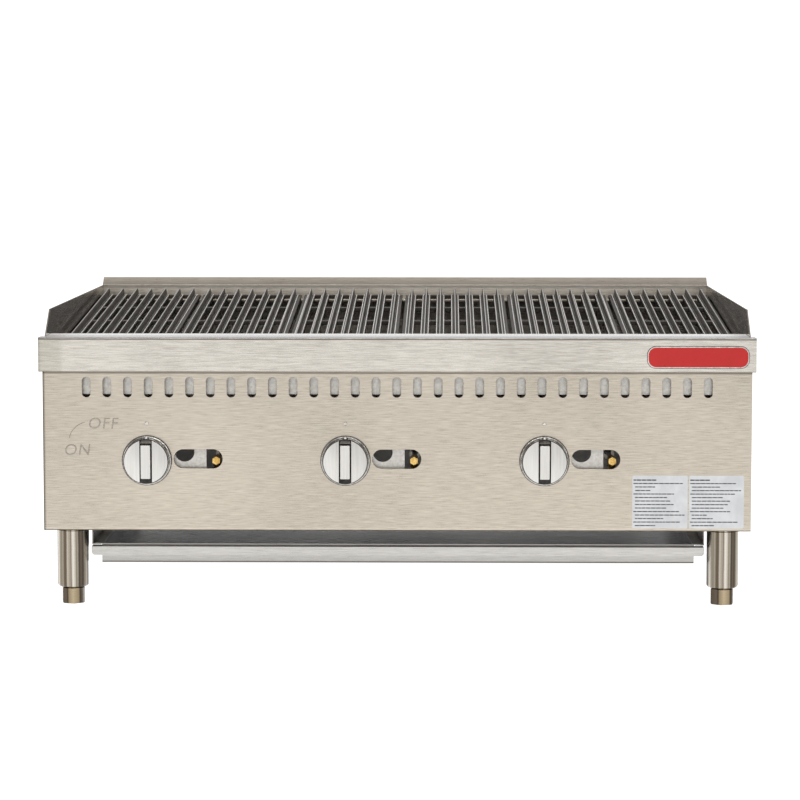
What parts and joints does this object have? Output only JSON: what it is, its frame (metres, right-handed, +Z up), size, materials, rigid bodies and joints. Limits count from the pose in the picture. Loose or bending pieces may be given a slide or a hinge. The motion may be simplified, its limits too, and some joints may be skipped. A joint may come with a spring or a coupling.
{
  "type": "charbroiler grill",
  "caption": "Countertop gas radiant charbroiler: stainless body on adjustable legs, tilted lift-off cast grates, radiants over tube burners, control knobs and a pull-out drip tray.",
  "frame": {"origin": "on the counter, under the middle of the bounding box", "axes": "+X along the width to the right as the cook sees it, +Y to the rear, +Z up"},
  "size_m": [0.914, 0.7, 0.3912],
  "materials": {
    "brushed_stainless": "stainless sheet brushed along its length, satin, slightly warm",
    "galvanised_steel": "galvanised sheet with a faint mottled spangle, dull grey",
    "heated_steel": "plain steel darkened and browned by heat, matte",
    "satin_chrome": "chromed die casting, satin face and bright edges",
    "nickel_leg": "nickel plated turned steel with fine lathe lines",
    "cast_iron": "raw cast iron, dark grey, its bar tops ground bright",
    "brass": "machined yellow brass",
    "black_pipe": "black gas pipe, dull",
    "red_enamel": "gloss red enamel on a thin metal plate, blank"
  },
  "bodies": {
    "body": {"left_side_panel": "brushed_stainless", "right_side_panel": "brushed_stainless", "rear_panel": "brushed_stainless", "front_rail": "brushed_stainless", "control_panel": "brushed_stainless", "left_tray_rail": "brushed_stainless", "right_tray_rail": "brushed_stainless", "front_grate_support": "brushed_stainless", "rear_grate_support": "brushed_stainless", "vent_shield": "galvanised_steel", "valve_bracket": "galvanised_steel", "left_base_channel": "galvanised_steel", "right_base_channel": "galvanised_steel", "pilot_burner_1": "galvanised_steel", "pilot_burner_2": "galvanised_steel", "pilot_burner_3": "galvanised_steel", "heat_shield": "heated_steel", "left_firebox_liner": "heated_steel", "right_firebox_liner": "heated_steel", "rear_radiant_support": "heated_steel", "burner_rest": "heated_steel", "burner_1": "heated_steel", "burner_2": "heated_steel", "burner_3": "heated_steel", "radiant_1": "heated_steel", "radiant_2": "heated_steel", "radiant_3": "heated_steel", "leg_front_left": "nickel_leg", "leg_front_right": "nickel_leg", "leg_rear_left": "nickel_leg", "leg_rear_right": "nickel_leg", "valve_body_1": "brass", "valve_body_2": "brass", "valve_body_3": "brass", "pilot_valve_1": "brass", "pilot_valve_2": "brass", "pilot_valve_3": "brass", "gas_manifold": "black_pipe", "gas_inlet_pipe": "black_pipe", "nameplate": "red_enamel"},
    "knob_turn_1": {"knob_1": "satin_chrome", "valve_stem_1": "brass"},
    "air_shutter_turn_1": {"air_shutter_1": "galvanised_steel"},
    "knob_turn_2": {"knob_2": "satin_chrome", "valve_stem_2": "brass"},
    "air_shutter_turn_2": {"air_shutter_2": "galvanised_steel"},
    "knob_turn_3": {"knob_3": "satin_chrome", "valve_stem_3": "brass"},
    "air_shutter_turn_3": {"air_shutter_3": "galvanised_steel"},
    "tray": {"drip_tray": "brushed_stainless"},
    "front_left_foot": {"foot_front_left": "nickel_leg"},
    "front_right_foot": {"foot_front_right": "nickel_leg"},
    "rear_left_foot": {"foot_rear_left": "nickel_leg"},
    "rear_right_foot": {"foot_rear_right": "nickel_leg"},
    "grate_lift_1": {"grate_1": "cast_iron"},
    "grate_lift_2": {"grate_2": "cast_iron"},
    "grate_lift_3": {"grate_3": "cast_iron"},
    "grate_lift_4": {"grate_4": "cast_iron"},
    "grate_lift_5": {"grate_5": "cast_iron"},
    "grate_lift_6": {"grate_6": "cast_iron"}
  },
  "joints": [
    {"name": "knob_1_turn", "type": "hinge", "parent": "body", "child": "knob_turn_1", "pos_m": [-0.3195, -0.339, 0.1902], "axis": [0, -1, 0], "range_deg": [0, 90]},
    {"name": "air_shutter_1_turn", "type": "hinge", "parent": "body", "child": "air_shutter_turn_1", "pos_m": [-0.3195, -0.248, 0.1902], "axis": [0, 1, 0], "range_deg": [0, 60]},
    {"name": "knob_2_turn", "type": "hinge", "parent": "body", "child": "knob_turn_2", "pos_m": [-0.0655, -0.339, 0.1902], "axis": [0, -1, 0], "range_deg": [0, 90]},
    {"name": "air_shutter_2_turn", "type": "hinge", "parent": "body", "child": "air_shutter_turn_2", "pos_m": [-0.0655, -0.248, 0.1902], "axis": [0, 1, 0], "range_deg": [0, 60]},
    {"name": "knob_3_turn", "type": "hinge", "parent": "body", "child": "knob_turn_3", "pos_m": [0.1885, -0.339, 0.1902], "axis": [0, -1, 0], "range_deg": [0, 90]},
    {"name": "air_shutter_3_turn", "type": "hinge", "parent": "body", "child": "air_shutter_turn_3", "pos_m": [0.1885, -0.248, 0.1902], "axis": [0, 1, 0], "range_deg": [0, 60]},
    {"name": "tray_slide", "type": "slide", "parent": "body", "child": "tray", "axis": [0, -1, 0], "range_m": [0, 0.45]},
    {"name": "front_left_foot_height", "type": "slide", "parent": "body", "child": "front_left_foot", "axis": [0, 0, -1], "range_m": [0, 0.025]},
    {"name": "front_right_foot_height", "type": "slide", "parent": "body", "child": "front_right_foot", "axis": [0, 0, -1], "range_m": [0, 0.025]},
    {"name": "rear_left_foot_height", "type": "slide", "parent": "body", "child": "rear_left_foot", "axis": [0, 0, -1], "range_m": [0, 0.025]},
    {"name": "rear_right_foot_height", "type": "slide", "parent": "body", "child": "rear_right_foot", "axis": [0, 0, -1], "range_m": [0, 0.025]},
    {"name": "grate_1_lift", "type": "slide", "parent": "body", "child": "grate_lift_1", "axis": [0, 0, 1], "range_m": [0, 0.12]},
    {"name": "grate_2_lift", "type": "slide", "parent": "body", "child": "grate_lift_2", "axis": [0, 0, 1], "range_m": [0, 0.12]},
    {"name": "grate_3_lift", "type": "slide", "parent": "body", "child": "grate_lift_3", "axis": [0, 0, 1], "range_m": [0, 0.12]},
    {"name": "grate_4_lift", "type": "slide", "parent": "body", "child": "grate_lift_4", "axis": [0, 0, 1], "range_m": [0, 0.12]},
    {"name": "grate_5_lift", "type": "slide", "parent": "body", "child": "grate_lift_5", "axis": [0, 0, 1], "range_m": [0, 0.12]},
    {"name": "grate_6_lift", "type": "slide", "parent": "body", "child": "grate_lift_6", "axis": [0, 0, 1], "range_m": [0, 0.12]}
  ]
}
